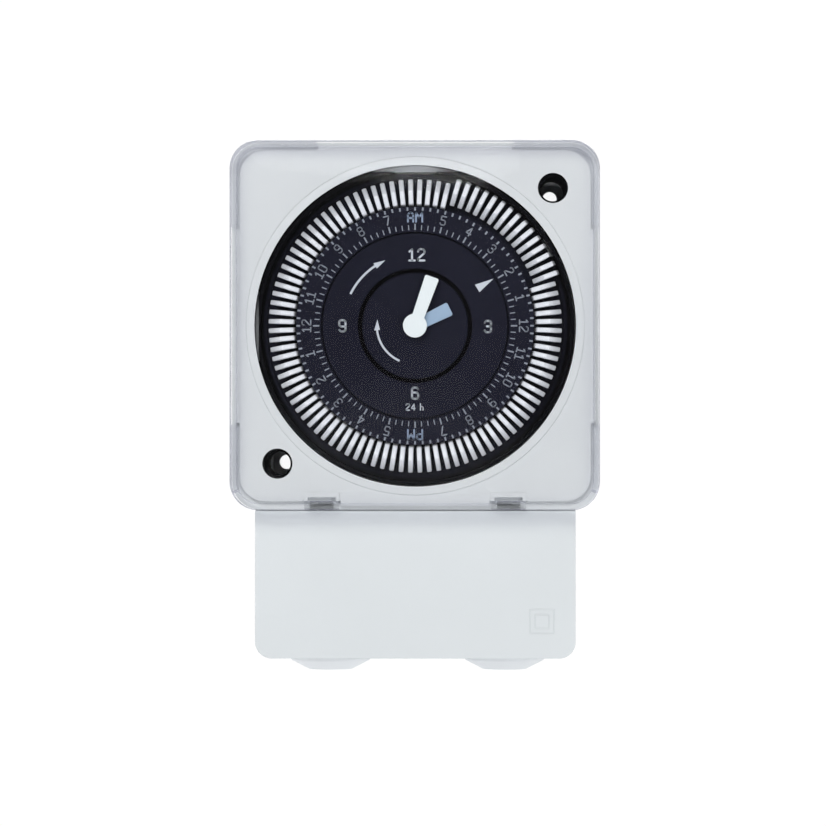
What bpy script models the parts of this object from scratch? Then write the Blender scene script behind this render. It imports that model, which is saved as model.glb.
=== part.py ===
"""Programmable 24-hour segment timer, 72 x 72 mm front, on a wall base.

Frame: +Z up, the front looks towards -Y, +X is to the right of someone facing
it.  The origin lies on the wall face, on the axis of the dial.  Sizes are in
millimetres; d is the distance out from the wall (y = -d).
"""
import math
import bpy
import bmesh
from mathutils import Matrix, Vector
from mathutils.geometry import tessellate_polygon

for old in list(bpy.data.objects):
    bpy.data.objects.remove(old, do_unlink=True)

# --------------------------------------------------------- shared dimensions
MM = 0.001              # metres in a millimetre
AXIS = (0.0, 0.0)       # dial axis, as x, z
GAP = 0.3               # between stacked mouldings
D_BASE = 21.0           # front of the wall base
D_FLANGE = (42.0, 44.0)             # rear and front of the frame flange
D_HOUSING = (D_BASE + GAP, D_FLANGE[0] - GAP)
D_PLATE = 46.0          # face of the raised frame plate
HALF = 72.0 / 2         # half the square front of lid and flange
FRONT_R = 5.5           # its corner radius
FIXINGS = ((27.0, 27.0), (-27.0, -27.0))            # corner fixing passages, x, z
PLATE_SCREWS = ((-28.6, 28.6), (28.6, -28.6))       # gear plate screws, x, z
HINGE_X, HINGE_D, HINGE_Z = 18.3, 45.5, -35.2       # lid hinge, at -X and +X
LOWER = (1, 1, 0, 0)    # rounds only the lower corners of a rectangle
POINTER_DEG = 31.0      # reading mark and switch follower

COLOURS = {
    "frame_grey": (0.68, 0.70, 0.73), "base_grey": (0.75, 0.78, 0.80),
    "black": (0.006, 0.006, 0.008), "dial": (0.024, 0.025, 0.036),
    "white": (0.86, 0.90, 0.92), "blue": (0.28, 0.39, 0.54),
    "clear": (0.9, 0.93, 0.95), "brass": (0.70, 0.50, 0.22),
    "steel": (0.55, 0.55, 0.56), "copper": (0.60, 0.25, 0.10),
    "green": (0.02, 0.20, 0.09), "gear": (0.80, 0.78, 0.70),
    "rubber": (0.62, 0.65, 0.68), "cell": (0.30, 0.32, 0.34),
}
METALS = {"brass", "steel", "copper"}
GLOSSY, SATIN = 0.08, 0.42          # roughness of the clear lid and of the rest


# ---------------------------------------------------------- mesh and material
def material(key):
    made = bpy.data.materials.new(key)
    made.use_nodes = True
    inputs = made.node_tree.nodes["Principled BSDF"].inputs
    inputs["Base Color"].default_value = (*COLOURS[key], 1.0)
    inputs["Metallic"].default_value = 1.0 if key in METALS else 0.0
    inputs["Roughness"].default_value = GLOSSY if key == "clear" else SATIN
    return made


def make(name, verts, faces, key):
    """Object from millimetre vertices; every object has a material of its own."""
    mesh = bpy.data.meshes.new(name)
    mesh.from_pydata([tuple(c * MM for c in v) for v in verts], [], faces)
    work = bmesh.new()
    work.from_mesh(mesh)
    bmesh.ops.recalc_face_normals(work, faces=work.faces)
    work.to_mesh(mesh)
    work.free()
    piece = bpy.data.objects.new(name, mesh)
    bpy.context.scene.collection.objects.link(piece)
    mesh.materials.append(material(key))
    return piece


def set_origin(piece, x, d, z):
    """Put the origin on the axis the piece turns about, leaving it in place."""
    point = Vector((x, -d, z)) * MM
    piece.data.transform(Matrix.Translation(-point))
    piece.location = point


def combine(piece, tools, operation):
    for tool in tools:
        step = piece.modifiers.new("b", "BOOLEAN")
        step.operation, step.object, step.solver = operation, tool, "EXACT"
        bpy.context.view_layer.update()
        graph = bpy.context.evaluated_depsgraph_get()
        mesh = bpy.data.meshes.new_from_object(piece.evaluated_get(graph))
        piece.modifiers.clear()
        piece.data = mesh
        bpy.data.objects.remove(tool, do_unlink=True)
    return piece


def cut(piece, *tools):
    return combine(piece, tools, "DIFFERENCE")


def join(piece, *tools):
    return combine(piece, tools, "UNION")


# ------------------------------------------------------------------- outlines
def polar(radius, deg, centre=AXIS):
    angle = math.radians(deg)
    return (centre[0] + radius * math.cos(angle), centre[1] + radius * math.sin(angle))


def rotate(points, deg):
    cos, sin = math.cos(math.radians(deg)), math.sin(math.radians(deg))
    return [(x * cos - z * sin, x * sin + z * cos) for x, z in points]


def circle(radius, seg, centre=AXIS, start=0.0):
    """Regular polygon; its first corner is at start radians."""
    angles = [start + 2 * math.pi * i / seg for i in range(seg)]
    return [(centre[0] + radius * math.cos(a), centre[1] + radius * math.sin(a))
            for a in angles]


def rect(left, right, low, high, radius=0.0, steps=4, rounded=(1, 1, 1, 1)):
    """Rectangle, its corners in turn lower left, lower right, upper right, upper left."""
    corners = ((left, low, 1, 1, 180), (right, low, -1, 1, 270),
               (right, high, -1, -1, 0), (left, high, 1, -1, 90))
    points = []
    for (x, z, in_x, in_z, start), on in zip(corners, rounded):
        if on and radius:
            centre = (x + in_x * radius, z + in_z * radius)
            points += [polar(radius, start + 90 * i / steps, centre) for i in range(steps + 1)]
        else:
            points.append((x, z))
    return points


def square(half, radius=0.0, steps=4):
    return rect(-half, half, -half, half, radius, steps)


def span(middle, half):
    return (middle - half, middle + half)


# --------------------------------------------------------------------- solids
# Placings of an outline point p at travel t along the extrusion.
def facing(p, t):
    """p is x, z; t is d."""
    return (p[0], -t, p[1])


def along_x(p, t):
    """p is d, z; t is x."""
    return (t, -p[0], p[1])


def upward(p, t):
    """p is x, d; t is z."""
    return (p[0], -p[1], t)


def prism(loops, start, end, name="tool", key="black", place=facing):
    """Outline, with holes in it, extruded from start to end."""
    verts, faces, index = [], [], []
    for loop in loops:
        n, s = len(loop), len(verts)
        verts += [place(p, start) for p in loop] + [place(p, end) for p in loop]
        faces += [(s + i, s + (i + 1) % n, s + n + (i + 1) % n, s + n + i) for i in range(n)]
        index += [(s + i, s + n + i) for i in range(n)]
    if len(loops) == 1:
        caps = [tuple(range(len(loops[0])))]
    else:
        caps = tessellate_polygon([[Vector((*p, 0)) for p in loop] for loop in loops])
    for cap in caps:
        faces.append(tuple(index[i][0] for i in cap))
        faces.append(tuple(index[i][1] for i in reversed(cap)))
    return make(name, verts, faces, key)


def box(x, d, z, name="tool", key="black"):
    return prism([rect(*x, *z)], *d, name, key)


def rod(radius, start, end, centre=AXIS, seg=16, name="tool", key="steel"):
    return prism([circle(radius, seg, centre)], start, end, name, key)


def revolve(profile, seg, name="tool", key="black", centre=AXIS, place=facing):
    """Ring or disc from a closed outline of (radius, height along the axis)."""
    verts, faces, rows = [], [], []
    for radius, height in profile:
        first = len(verts)
        rows.append([first + i if radius else first for i in range(seg)])
        ring = circle(radius, seg, centre) if radius else [centre]
        verts += [place(p, height) for p in ring]
    for row, after in zip(rows, rows[1:] + rows[:1]):
        for i in range(seg):
            j = (i + 1) % seg
            face = tuple(dict.fromkeys((row[i], row[j], after[j], after[i])))
            if len(face) > 2:
                faces.append(face)
    return make(name, verts, faces, key)


def at_pointer(piece):
    """Turn a piece built along +X about the dial axis to the reading mark."""
    piece.data.transform(Matrix.Rotation(-math.radians(POINTER_DEG), 4, "Y"))
    return piece


# ------------------------------------------------------------------ wall base
BASE_HALF = 63.0 / 2
BASE_BOTTOM, BASE_TOP = -65.3, 31.5
BASE_R = 3.3            # corner radius
BASE_WALL = 1.8
BASE_FLOOR = 2.0
GLAND_X, GLAND_D = 17.7, 10.5       # cable entries, at -X and +X

# radius, height above the bottom of the base
GROMMET = [(0, -3.7), (4.4, -3.7), (4.8, -3.5), (8.3, -1.7), (8.3, -0.3), (6.15, -0.3),
           (6.15, 2.1), (7.6, 2.1), (7.6, 3.1), (5.0, 3.1), (4.2, -2.7), (0, -2.7)]


def build_wall_base():
    base = prism([rect(-BASE_HALF, BASE_HALF, BASE_BOTTOM, BASE_TOP, BASE_R)],
                 0, D_BASE, "wall_base", "base_grey")
    inner = BASE_HALF - BASE_WALL
    cut(base, prism([rect(-inner, inner, BASE_BOTTOM + BASE_WALL, BASE_TOP - BASE_WALL, 1.6)],
                    BASE_FLOOR, D_BASE + 2))
    for centre in FIXINGS:
        cut(base, rod(1.45, -1, 3, centre))
    # one rounded slot near the top, two lower down
    for x, low, high in ((0, 18, 26), (-24, -46, -41), (24, -46, -41)):
        cut(base, prism([rect(*span(x, 2.25), low, high, 2.2)], -1, 3))
        if x:
            entry = [(0, BASE_BOTTOM + 3), (6.5, BASE_BOTTOM + 3),
                     (6.5, BASE_BOTTOM - 1), (0, BASE_BOTTOM - 1)]
            gland = (math.copysign(GLAND_X, x), GLAND_D)
            cut(base, revolve(entry, 16, centre=gland, place=upward))


def build_grommets():
    profile = [(radius, BASE_BOTTOM + height) for radius, height in GROMMET]
    for side, x in (("left", -GLAND_X), ("right", GLAND_X)):
        revolve(profile, 16, "cable_grommet_" + side, "rubber", (x, GLAND_D), upward)


# ------------------------------------------------------------------ terminals
TERM_PITCH = 10.5
TERM_X = [TERM_PITCH * i for i in range(-2, 3)]
TERM_Z = -49.5          # screw axes


def build_terminal_block():
    block = prism([rect(-27.5, 27.5, -60, -38.5)], 2.4, 30, "terminal_block", "black")
    for x in TERM_X:
        cut(block, box(span(x, 4.3), (13, 31), span(TERM_Z, 4.5)))
        # wire entry from below
        cut(block, box(span(x, 2.6), (15.5, 21.5), (-61, -53)))


def build_terminals():
    for i, x in enumerate(TERM_X, 1):
        clamp = box(span(x, 3.9), (13.5, 24.0), span(TERM_Z, 3.9),
                    "terminal_clamp_%d" % i, "brass")
        cut(clamp, box(span(x, 2.7), (15.0, 21.6), span(TERM_Z, 5.5)))
        cut(clamp, rod(2.05, 20, 25, (x, TERM_Z), 12))
        screw = rod(1.6, 18.2, 25.4, (x, TERM_Z), 12, "terminal_screw_%d" % i)
        join(screw, rod(3.0, 25.0, 27.4, (x, TERM_Z), 20))
        cut(screw, box(span(x, 0.45), (26.3, 28), span(TERM_Z, 3.5)))
        set_origin(screw, x, 0, TERM_Z)


# ------------------------------------------------------------- terminal cover
D_COVER = 44.0          # front face
COVER_TOP = -36.3       # upper edge of the front part
COVER_WALL = 1.6


def build_terminal_cover():
    rear = D_BASE + GAP
    cover = prism([rect(-BASE_HALF, BASE_HALF, BASE_BOTTOM, COVER_TOP, BASE_R, 6, LOWER)],
                  rear, D_COVER, "terminal_cover", "base_grey")
    # lower step that reaches up under the frame
    join(cover, box((-BASE_HALF, BASE_HALF), (rear, 41.4), (-40, -34.1)))
    inner = BASE_HALF - COVER_WALL
    cut(cover, prism([rect(-inner, inner, BASE_BOTTOM + COVER_WALL, -38, 2.0, 4, LOWER)],
                     20, 42.3))
    cut(cover, box((-inner, inner), (20, 39.8), (-38.5, -33)))
    # slope along the upper front edge, d, z
    slope = [(44.6, -36.0), (43.4, -36.0), (D_COVER, -41.1), (44.6, -41.1)]
    cut(cover, prism([slope], -33, 33, place=along_x))


# --------------------------------------------------------------- rear housing
HOUSING_HALF = 33.8
HOUSING_R = 3.5
HOUSING_WALL = 1.2
PLUG_X = TERM_X[1:4]


def build_rear_housing():
    housing = prism([square(HOUSING_HALF, HOUSING_R)], *D_HOUSING, "rear_housing", "black")
    cut(housing, prism([square(HOUSING_HALF - HOUSING_WALL, HOUSING_R - HOUSING_WALL)],
                       22.8, 43))
    for centre in FIXINGS:      # tubes for the fixing screws
        join(housing, rod(3.7, 22.0, D_HOUSING[1], centre, 20))
        cut(housing, rod(2.4, 20, 43, centre, 20))
    for centre in PLATE_SCREWS:     # posts under the gear plate
        join(housing, rod(2.4, 22.0, 34.9, centre, 16))
        cut(housing, rod(1.5, 28, 36, centre, 12))
    for x in PLUG_X:
        cut(housing, box(span(x, 1.6), (20, 24), (-30.3, -28.9)))


def build_plug_blades():
    for i, x in enumerate(PLUG_X, 1):
        box(span(x, 1.25), (14.0, 22.5), (-30.0, -29.2), "plug_blade_%d" % i, "brass")


# ---------------------------------------------------------------- front frame
PLATE_CORNER = 34.4     # half size of the plate at its corners
PLATE_LAND = 35.3       # half size at the four side lands
LAND_HALF = 19.0        # half length of a land
BORE_R = 31.5           # dial recess
LIP_R = 33.2            # raised lip round the recess
KEY_R = 31.9            # outer radius of the two flats in the bore


def plate_outline():
    corner = square(PLATE_CORNER, 5.0, 6)[7:14]     # the lower right arc alone
    side = [(LAND_HALF, -PLATE_LAND), (LAND_HALF + 0.01, -PLATE_CORNER), *corner,
            (PLATE_CORNER, -LAND_HALF - 0.01), (PLATE_LAND, -LAND_HALF)]
    return [p for i in range(4) for p in rotate(side, 90 * i)]


def build_front_frame():
    frame = prism([square(HALF, FRONT_R, 6)], *D_FLANGE, "front_frame", "frame_grey")
    join(frame, prism([plate_outline()], 43.5, D_PLATE))
    lip = [(0, 45.0), (LIP_R, 45.0), (LIP_R, D_PLATE + 0.1),
           (LIP_R - 0.3, D_PLATE + 0.4), (0, D_PLATE + 0.4)]
    join(frame, rod(32.35, 38.0, 42.6, AXIS, 64), revolve(lip, 64))
    cut(frame, rod(BORE_R, 37, 48, AXIS, 64))
    # two flats that key the shroud: direction, distance from the axis
    for middle, flat in ((90, 30.35), (180, 30.85)):
        half = math.degrees(math.acos(flat / KEY_R))
        arc = [polar(KEY_R, middle - half + half * i / 4) for i in range(9)]
        join(frame, prism([arc], 38.0, 41.5))
    for centre in FIXINGS:
        cut(frame, rod(2.95, 41, 48, centre, 28))
    for x in (-HINGE_X, HINGE_X):       # raised rim, hinge pocket and pin hole
        join(frame, box(span(x, 3.45), (45.0, D_PLATE + 0.3), (-34.3, -32.65)))
        cut(frame, box(span(x, 2.75), (HINGE_D - 1.2, 48), (-37, HINGE_Z + 1.6)))
        cut(frame, prism([circle(1.1, 12, (HINGE_D, HINGE_Z), 0.1)],
                         *span(x, 3.7), place=along_x))
    cut(frame, at_pointer(box((31.0, 33.5), (37, 44.3), (-3.2, 3.2))))


# ------------------------------------------------------------------ clear lid
D_LID = 54.0            # outer face
LID_FACE = 1.5          # thickness of the front
LID_SIDE = 1.2          # thickness of the sides


def build_lid():
    lid = prism([square(HALF, FRONT_R, 6)], D_FLANGE[1] + GAP, D_LID, "lid", "clear")
    inner = HALF - LID_SIDE
    cut(lid, prism([square(inner, FRONT_R - LID_SIDE, 6)], 43, D_LID - LID_FACE))
    # clearances over the lands at the top, the two sides and the bottom
    rim = (43, D_PLATE + 0.35)
    cut(lid, box(span(0, LAND_HALF + 0.4), rim, (30, 40)))
    for x in ((-40, -30), (30, 40)):
        cut(lid, box(x, rim, span(0, LAND_HALF + 0.4)))
    cut(lid, box((-40, 40), rim, (-40, -32.5)))
    hinge = (HINGE_D, HINGE_Z)
    web = [(HINGE_D, -HALF), (47.0, -HALF), (47.0, -inner)]
    web += [polar(0.85, deg, hinge) for deg in range(30, 271, 30)]
    for x in (-HINGE_X, HINGE_X):
        join(lid, prism([web], *span(x, 2.3), place=along_x))
        join(lid, prism([circle(0.8, 12, hinge)], *span(x, 3.4), place=along_x))
    set_origin(lid, 0, HINGE_D, HINGE_Z)


# ---------------------------------------------------------------- dial shroud
# radius, d
SHROUD = [(24.8, 37.2), (31.2, 37.2), (31.2, 45.4), (30.47, 45.4), (30.47, 38.3), (24.8, 38.3)]


def build_dial_shroud():
    shroud = revolve(SHROUD, 48, "dial_shroud", "black")
    cut(shroud, box((-20, 20), (36, 47), (30.2, 34)))       # flat at the top
    cut(shroud, box((-34, -30.7), (36, 47), (-20, 20)))     # flat at the left
    cut(shroud, at_pointer(box((29.9, 33), (36, 44.6), (-2.6, 2.6))))


# ---------------------------------------------------------------- gear layout
MODULE = 0.4            # of the train from rotor to hour wheel
WHEEL, PINION = 30, 8   # teeth of the train
CANNON, HOUR = 10, 32   # teeth on the minute arbor and the hour wheel
HOUR_OUT, IDLER_IN = 45, 12     # hour wheel to dial idler
DIAL_TEETH, IDLER_OUT = 60, 8   # dial idler to dial ring
IDLER_R = 21.0          # dial axis to idler axis
DIAL_MODULE = IDLER_R * 2 / (DIAL_TEETH + IDLER_OUT)
HOUR_MODULE = IDLER_R * 2 / (HOUR_OUT + IDLER_IN)
ADDENDUM, DEDENDUM = 0.8, 1.05      # in modules
ROOT_HALF, TIP_HALF = 0.30, 0.105   # half widths of a tooth, in pitches

TRAIN_STEP = (WHEEL + PINION) * MODULE / 2
MOTION_AT = polar((CANNON + WHEEL) * MODULE / 2, 250)
WHEEL_2_AT = polar(TRAIN_STEP, 250, MOTION_AT)
WHEEL_1_AT = polar(TRAIN_STEP, 330, WHEEL_2_AT)
ROTOR_AT = polar(TRAIN_STEP, 0, WHEEL_1_AT)
IDLER_AT = polar(IDLER_R, 120)
ARBOR_D = 23.6          # rear end of every arbor of the train


def gear(teeth, module, centre=AXIS, phase=0.0):
    """Straight-flanked tooth outline; a tooth is centred at the phase angle."""
    pitch_r = teeth * module / 2
    root, tip = pitch_r - DEDENDUM * module, pitch_r + ADDENDUM * module
    step = 2 * math.pi / teeth
    points = []
    for i in range(teeth):
        for radius, offset in ((root, -ROOT_HALF), (tip, -TIP_HALF),
                               (tip, TIP_HALF), (root, ROOT_HALF)):
            angle = phase + i * step + offset * step
            points.append((centre[0] + radius * math.cos(angle),
                           centre[1] + radius * math.sin(angle)))
    return points


def mesh_phase(driver_at, driver_teeth, driven_at, driven_teeth, driver_phase=0.0):
    """Phase of the driven gear that puts its gap on a driver tooth."""
    line = math.atan2(driven_at[1] - driver_at[1], driven_at[0] - driver_at[0])
    part = ((line - driver_phase) * driver_teeth / (2 * math.pi)) % 1.0
    return line + math.pi - (0.5 - part) * 2 * math.pi / driven_teeth


MOTION_PHASE = mesh_phase(AXIS, CANNON, MOTION_AT, WHEEL)


# --------------------------------------------------------------------- gears
def build_minute_arbor():
    arbor = rod(0.7, ARBOR_D, 48.3, AXIS, 12, "minute_arbor")
    join(arbor, prism([gear(CANNON, MODULE)], 29.6, 30.8))


def build_hour_wheel():
    hour = prism([circle(1.45, 16)], 31.2, 47.2, "hour_wheel", "gear")
    phase = mesh_phase(MOTION_AT, PINION, AXIS, HOUR)
    join(hour, prism([gear(HOUR, MODULE, AXIS, phase)], 31.2, 32.4),
         rod(4.0, 32.0, 33.2, AXIS, 24), prism([gear(HOUR_OUT, HOUR_MODULE)], 32.8, 34.0))
    cut(hour, rod(1.05, 30, 50))


def build_train_wheel(name, centre, wheel_d, arbor_end, pinion_d, wheel_phase, pinion_phase):
    """Wheel and pinion on one arbor."""
    wheel = prism([gear(WHEEL, MODULE, centre, wheel_phase)], *wheel_d, name, "gear")
    join(wheel, rod(0.6, ARBOR_D, arbor_end, centre, 10),
         prism([gear(PINION, MODULE, centre, pinion_phase)], *pinion_d))
    set_origin(wheel, centre[0], 0, centre[1])


def build_dial_idler():
    idler = rod(0.8, 31.6, 40.2, IDLER_AT, 12, "dial_idler", "gear")
    phase_in = mesh_phase(AXIS, HOUR_OUT, IDLER_AT, IDLER_IN)
    phase_out = mesh_phase(AXIS, DIAL_TEETH, IDLER_AT, IDLER_OUT)
    join(idler, prism([gear(IDLER_IN, HOUR_MODULE, IDLER_AT, phase_in)], 32.8, 34.0),
         prism([gear(IDLER_OUT, DIAL_MODULE, IDLER_AT, phase_out)], 38.0, 40.2))
    set_origin(idler, IDLER_AT[0], 0, IDLER_AT[1])


def build_train():
    build_train_wheel("motion_wheel", MOTION_AT, (29.6, 30.8), 30.0, (30.5, 32.4),
                      MOTION_PHASE, 0.0)
    build_dial_idler()
    build_train_wheel("reduction_wheel_2", WHEEL_2_AT, (27.4, 28.4), 27.6, (28.2, 30.8),
                      0.0, mesh_phase(MOTION_AT, WHEEL, WHEEL_2_AT, PINION, MOTION_PHASE))
    build_train_wheel("reduction_wheel_1", WHEEL_1_AT, (25.4, 26.4), 36.0, (26.2, 28.4),
                      0.0, mesh_phase(WHEEL_2_AT, WHEEL, WHEEL_1_AT, PINION))


# ---------------------------------------------------------------------- motor
def build_motor():
    rotor = rod(4.4, 28.6, 31.6, ROTOR_AT, 24, "motor_rotor")
    phase = mesh_phase(WHEEL_1_AT, WHEEL, ROTOR_AT, PINION)
    join(rotor, rod(0.6, ARBOR_D, 36.0, ROTOR_AT, 10),
         prism([gear(PINION, MODULE, ROTOR_AT, phase)], 25.4, 26.4))
    set_origin(rotor, ROTOR_AT[0], 0, ROTOR_AT[1])
    stator = prism([rect(3.1, 27.0, -24.4, -9.0, 1.5), circle(5.1, 28, ROTOR_AT)],
                   29.4, 30.8, "motor_stator", "steel")
    cut(stator, box((19.3, 23.4), (28, 32), (-21.4, -11.0)))
    # the coil surrounds the right limb of the stator
    prism([rect(20.0, 30.0, 26.0, 34.0, 1.0, 3), rect(23.1, 27.3, 29.1, 31.1)],
          -20.9, -11.5, "motor_coil", "copper", upward)


# -------------------------------------------------------------------- plates
# centre and radius of the round holes in the gear plate
PLATE_HOLES = [(AXIS, 1.9), (IDLER_AT, 1.15), (WHEEL_1_AT, 0.95), (ROTOR_AT, 0.95)]
PLATE_HOLES += [(centre, 1.5) for centre in PLATE_SCREWS]

# x, z
MOVEMENT_PLATE = [(-16, -31.5), (18.5, -31.5), (25.0, -25.5), (31.0, -24.5),
                  (31.0, -5), (6, 5), (-10, 5), (-16, -3)]
PILLARS = ((-13.2, -29.0), (17.5, -28.6), (29.0, -7.0))


def build_gear_plate():
    plate = prism([square(32.2, 2.0)], 35.2, 36.7, "gear_plate", "frame_grey")
    for centre in FIXINGS:      # open corners that clear the housing tubes
        cut(plate, rod(4.6, 34, 38, centre, 24))
        corner = sorted((centre[0], math.copysign(34, centre[0])))
        cut(plate, box(corner, (34, 38), corner))
    for centre, radius in PLATE_HOLES:
        cut(plate, rod(radius, 34, 38, centre))
    cut(plate, at_pointer(box((28.9, 33.0), (34, 38), (-3.0, 3.0))))


def build_plate_screws():
    for i, centre in enumerate(PLATE_SCREWS, 1):
        screw = rod(1.1, 29.0, 37.2, centre, 12, "plate_screw_%d" % i)
        join(screw, rod(2.4, 37.0, 38.6, centre, 20))
        cut(screw, box(span(centre[0], 3), (38.0, 40), span(centre[1], 0.4)))


def build_movement_plate():
    plate = prism([MOVEMENT_PLATE], 23.2, 24.7, "movement_plate", "frame_grey")
    for centre in (AXIS, MOTION_AT, WHEEL_2_AT, WHEEL_1_AT, ROTOR_AT):
        cut(plate, rod(0.95, 22, 26, centre, 12))
    for centre in PILLARS:
        join(plate, rod(1.4, 24.0, 34.8, centre, 12))


# ----------------------------------------------------- switch, board and cell
# Built along +X, then turned to the reading mark; x, d
LEVER = [(21.0, 32.6), (29.0, 32.6), (31.1, 34.4), (31.1, 43.9), (30.5, 43.9),
         (30.5, 35.0), (28.8, 33.8), (21.9, 33.8), (21.0, 34.1)]
LEVER_PIVOT = (22.4, 33.2)
PLUNGER_AT = (27.6, 0)  # x, z


def build_switch():
    lever = at_pointer(prism([LEVER], -1.9, 1.9, "switch_lever", "white", upward))
    cut(lever, at_pointer(prism([circle(0.36, 10, LEVER_PIVOT)], -4, 4, place=upward)))
    at_pointer(prism([circle(0.27, 8, LEVER_PIVOT)], -2.9, 2.9, "lever_pin", "steel", upward))
    body = at_pointer(box((19.4, 31.2), (24.9, 31.2), (-3.2, 3.2), "microswitch_body"))
    cut(body, at_pointer(box((20.6, 32), (26.2, 29.6), (-2.2, 2.2))))
    cut(body, at_pointer(rod(1.0, 29, 32, PLUNGER_AT, 12)))
    at_pointer(rod(0.65, 29.0, 32.2, PLUNGER_AT, 10, "microswitch_plunger", "white"))
    at_pointer(box((21.2, 30.6), (28.2, 28.5), (-1.4, 1.4), "contact_blade", "copper"))
    at_pointer(box((24.2, 30.8), (26.6, 27.0), (-1.4, 1.4), "contact_fixed", "brass"))


def build_electronics():
    prism([rect(-31.0, 12.0, 7.6, 24.6, 0.8, 2)], 23.3, 24.6, "circuit_board", "green")
    revolve([(0, 25.0), (5.6, 25.0), (5.6, 29.6), (5.0, 30.4), (0, 30.4)],
            28, "reserve_cell", "cell", (-20.0, 16.0))
    revolve([(0, 25.0), (3.1, 25.0), (3.1, 30.8), (0, 30.8)],
            20, "capacitor", "blue", (5.0, 16.5))


# ------------------------------------------------------------------ dial ring
# radius, d
DIAL_RING = [
    (16.2, 37.4), (17.6, 37.4), (17.6, 40.9), (24.3, 40.9), (24.3, 38.7), (29.9, 38.7),
    (29.9, 41.2), (29.3, 41.2), (29.3, 39.7), (24.95, 39.7), (24.95, 41.9), (19.5, 41.9),
    (19.5, 43.7), (21.6, 43.7), (21.6, 45.3), (22.9, 45.3), (23.4, 46.5), (18.4, 46.5),
    (18.4, 44.9), (16.2, 44.9)]


def build_dial_ring():
    dial = revolve(DIAL_RING, 48, "dial_ring", "dial")
    join(dial, prism([gear(DIAL_TEETH, DIAL_MODULE), circle(17.0, 24)], 38.0, 40.2))


# ------------------------------------------------------------------- trippers
TRIPPERS = 96           # one every 15 minutes
PITCH = 360.0 / TRIPPERS
TRIP_R, TRIP_D = 26.7, 41.5     # pivot of a tripper
TRIP_W = 0.92
TILT = 15.5             # each side of upright
WIRE_R = 0.4            # square pivot wire, centre to corner
# Counted anticlockwise from +X; on means swung outwards.
FIXED_ON, LOOSE_ON = range(5, 16), range(16, 20)
LOOSE_OFF, FIXED_OFF = range(20, 24), range(24, TRIPPERS + 5)

# one side of the profile: across, outward from the pivot
HALF_TRIPPER = [(1.35, 6.0), (2.0, 4.6), (2.9, 2.5), (1.2, 0.4), (0.95, -1.0)]
TRIPPER = HALF_TRIPPER + [(-across, out) for across, out in reversed(HALF_TRIPPER)]


def middle(number):
    return (number + 0.5) * PITCH


def tripper_point(point, offset, deg, swung_out):
    """Profile point, at a tangential offset, to model x, -d, z."""
    (radial, depth), = rotate([point], -TILT if swung_out else TILT)
    (x, z), = rotate([(TRIP_R + radial, offset)], deg)
    return (x, -(TRIP_D + depth), z)


def build_tripper_group(name, numbers, swung_out, lead, trail):
    """Trippers on one wire, which runs lead and trail pitches past the ends."""
    # turned against the tilt, so the wire is alike for both positions
    wire = rotate([polar(WIRE_R, 45 + 90 * i) for i in range(4)], TILT if swung_out else -TILT)
    count = len(TRIPPER)
    caps = tessellate_polygon([[Vector((*p, 0)) for p in loop] for loop in (TRIPPER, wire)])
    verts, faces = [], []

    def ring(points, deg, offset=0.0):
        start = len(verts)
        verts.extend(tripper_point(p, offset, deg, swung_out) for p in points)
        return start

    def close(start):
        faces.append(tuple(start + i for i in range(4)))

    def tube(start, end, sides=4):
        faces.extend((start + i, start + (i + 1) % sides, end + (i + 1) % sides, end + i)
                     for i in range(sides))

    last = None         # wire ring that the next length starts from
    for i in range(lead, 0, -1):
        following = ring(wire, middle(numbers[0]) - i * PITCH)
        if last is None:
            close(following)
        else:
            tube(last, following)
        last = following
    for number in numbers:
        # for each flank, the first vertices of its outline and of its wire ring
        near, far = [(ring(TRIPPER, middle(number), offset), ring(wire, middle(number), offset))
                     for offset in (-TRIP_W / 2, TRIP_W / 2)]
        tube(near[0], far[0], count)
        for (outline_at, wire_at), wire_goes_on in (
                (near, number != numbers[0] or lead), (far, number != numbers[-1] or trail)):
            for cap in caps:
                faces.append(tuple(outline_at + i if i < count else wire_at + i - count
                                   for i in cap))
            if not wire_goes_on:
                close(wire_at)
        if last is not None:
            tube(last, near[1])
        last = far[1]
    for i in range(1, trail + 1):
        following = ring(wire, middle(numbers[-1]) + i * PITCH)
        tube(last, following)
        last = following
    if trail:
        close(last)
    make(name, verts, faces, "white")


def build_loose_tripper(index, number):
    """Tripper with a hole, riding on the wire run on from a group."""
    deg, swung_out = middle(number), number in LOOSE_ON
    tripper = prism([TRIPPER, circle(0.76, 8, start=math.pi / 8)], -TRIP_W / 2, TRIP_W / 2,
                    "tripper_%d" % index, "white",
                    lambda p, t: tripper_point(p, t, deg, swung_out))
    x, z = polar(TRIP_R, deg)
    set_origin(tripper, x, TRIP_D, z)


def build_trippers():
    build_tripper_group("trippers_on", FIXED_ON, True, 0, len(LOOSE_ON))
    build_tripper_group("trippers_off", FIXED_OFF, False, len(LOOSE_OFF), 0)
    for index, number in enumerate([*LOOSE_ON, *LOOSE_OFF], 1):
        build_loose_tripper(index, number)


# ------------------------------------------------------- clock face and hands
# radius, d
CLOCK_FACE = [(14.2, 37.1), (15.7, 37.1), (15.7, 45.3), (18.1, 45.3), (18.1, 46.5),
              (11.2, 46.5), (11.2, 44.3), (3.4, 44.3), (3.4, 43.3), (14.2, 43.3)]
CENTRE_DISC = [(1.8, 44.8), (10.4, 44.8), (10.4, 46.2), (1.8, 46.2)]


def blade(length, root, tip, deg):
    """Hand blade from the axis, turned clockwise from upright."""
    return rotate([(-root / 2, 0.0), (root / 2, 0.0), (tip / 2, length), (-tip / 2, length)],
                  -deg)


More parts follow.
